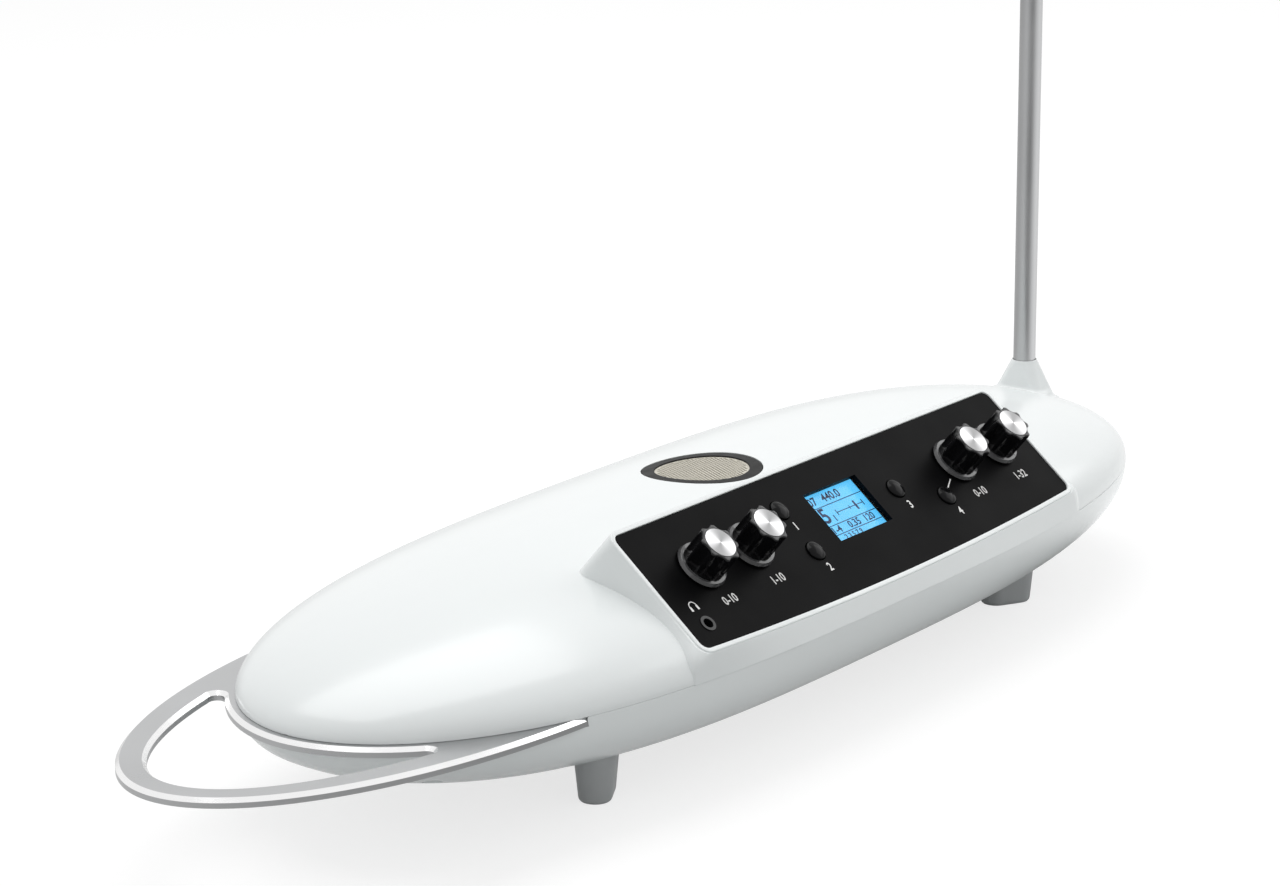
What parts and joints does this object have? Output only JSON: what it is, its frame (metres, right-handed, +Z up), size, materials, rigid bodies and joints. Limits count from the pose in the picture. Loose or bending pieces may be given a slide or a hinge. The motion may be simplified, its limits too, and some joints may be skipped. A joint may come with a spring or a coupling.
{
  "type": "theremin",
  "caption": "Table-top theremin: boat-shaped case with a sloping control panel, display, fluted knobs, a flat volume loop at one end and an upright pitch rod at the other.",
  "frame": {"origin": "middle of the footprint on the table, under the bounding box of the case and both antennas", "axes": "+X from the volume loop towards the pitch rod, -Y towards the player and the control panel, +Z up"},
  "size_m": [0.5084, 0.1562, 0.501],
  "materials": {
    "antenna_metal": "satin nickel-plated",
    "brass": "turned",
    "buttons": "black domed",
    "case_white": "glossy white moulded ABS",
    "chips": "moulded",
    "circuit_board": "solder mask",
    "display": "blue back-lit display",
    "display_window": "clear acrylic",
    "faceplate": "satin black",
    "foot_rubber": "grey rubber",
    "grille_mesh": "cream painted punched sheet",
    "grille_ring": "black",
    "jacks": "moulded",
    "knob": "black, fluted",
    "lead_black": "insulated wire",
    "lead_red": "insulated wire",
    "pots": "pressed can",
    "rear_panel": "satin black",
    "ribbon": "grey flat cable",
    "speaker_cone": "pressed paper",
    "speaker_metal": "pressed frame",
    "spun_cap": "radially spun aluminium",
    "steel": "zinc plated",
    "switches": "moulded",
    "usb_shell": "nickel plated shell"
  },
  "bodies": {
    "case": {"upper_shell": "case_white", "lower_shell": "case_white", "volume_antenna": "antenna_metal", "loop_screws": "steel", "antenna_socket": "brass", "faceplate": "faceplate", "display_window": "display_window", "display_module": "display", "control_board": "circuit_board", "board_standoffs": "steel", "board_screws": "steel", "headphone_jack": "jacks", "volume_pot": "pots", "pitch_pot": "pots", "delay_pot": "pots", "presets_encoder": "pots", "button_switches": "switches", "speaker_grille": "grille_mesh", "grille_ring": "grille_ring", "speaker_basket": "speaker_metal", "speaker_cone": "speaker_cone", "speaker_magnet": "speaker_metal", "main_board": "circuit_board", "board_chips": "chips", "rear_panel": "rear_panel", "audio_jack_left": "jacks", "audio_jack_right": "jacks", "cv_jack": "jacks", "jack_nuts": "steel", "usb_socket": "usb_shell", "dc_socket": "jacks", "power_switch": "switches", "case_screws": "steel", "stand_insert": "brass", "foot_front_left": "foot_rubber", "foot_front_right": "foot_rubber", "foot_rear_left": "foot_rubber", "foot_rear_right": "foot_rubber", "foot_screws": "steel", "panel_ribbon": "ribbon", "antenna_lead": "lead_red", "loop_lead": "lead_black"},
    "volume_control": {"volume_knob": "knob", "volume_knob_cap": "spun_cap", "volume_shaft": "steel"},
    "pitch_control": {"pitch_knob": "knob", "pitch_knob_cap": "spun_cap", "pitch_shaft": "steel"},
    "delay_control": {"delay_knob": "knob", "delay_knob_cap": "spun_cap", "delay_shaft": "steel"},
    "presets_control": {"presets_knob": "knob", "presets_knob_cap": "spun_cap", "presets_shaft": "steel"},
    "scale_key": {"scale_button": "buttons"},
    "root_key": {"root_button": "buttons"},
    "setup_key": {"setup_button": "buttons"},
    "delay_key": {"delay_button": "buttons"},
    "power_key": {"power_button": "buttons"},
    "rod": {"pitch_antenna": "antenna_metal"}
  },
  "joints": [
    {"name": "volume_turn", "type": "hinge", "parent": "case", "child": "volume_control", "pos_m": [-0.0559, -0.05512, 0.07188], "axis": [0, 0.6388, -0.7694], "range_deg": [-150, 150]},
    {"name": "pitch_turn", "type": "hinge", "parent": "case", "child": "pitch_control", "pos_m": [-0.0292, -0.05512, 0.07188], "axis": [0, 0.6388, -0.7694], "range_deg": [-150, 150]},
    {"name": "delay_turn", "type": "hinge", "parent": "case", "child": "delay_control", "pos_m": [0.0943, -0.05512, 0.07188], "axis": [0, 0.6388, -0.7694], "range_deg": [-150, 150]},
    {"name": "presets_turn", "type": "hinge", "parent": "case", "child": "presets_control", "pos_m": [0.1206, -0.05512, 0.07188], "axis": [0, 0.6388, -0.7694], "continuous": true},
    {"name": "scale_press", "type": "slide", "parent": "case", "child": "scale_key", "axis": [0, 0.6388, -0.7694], "range_m": [0, 0.0006], "stiffness_N_per_m": 600, "springref_m": -0.0008},
    {"name": "root_press", "type": "slide", "parent": "case", "child": "root_key", "axis": [0, 0.6388, -0.7694], "range_m": [0, 0.0006], "stiffness_N_per_m": 600, "springref_m": -0.0008},
    {"name": "setup_press", "type": "slide", "parent": "case", "child": "setup_key", "axis": [0, 0.6388, -0.7694], "range_m": [0, 0.0006], "stiffness_N_per_m": 600, "springref_m": -0.0008},
    {"name": "delay_press", "type": "slide", "parent": "case", "child": "delay_key", "axis": [0, 0.6388, -0.7694], "range_m": [0, 0.0006], "stiffness_N_per_m": 600, "springref_m": -0.0008},
    {"name": "power_press", "type": "slide", "parent": "case", "child": "power_key", "axis": [0, -1, 0], "range_m": [0, 0.0015], "stiffness_N_per_m": 500, "springref_m": -0.001},
    {"name": "rod_lift", "type": "slide", "parent": "case", "child": "rod", "axis": [0, 0, 1], "range_m": [0, 0.03]}
  ]
}
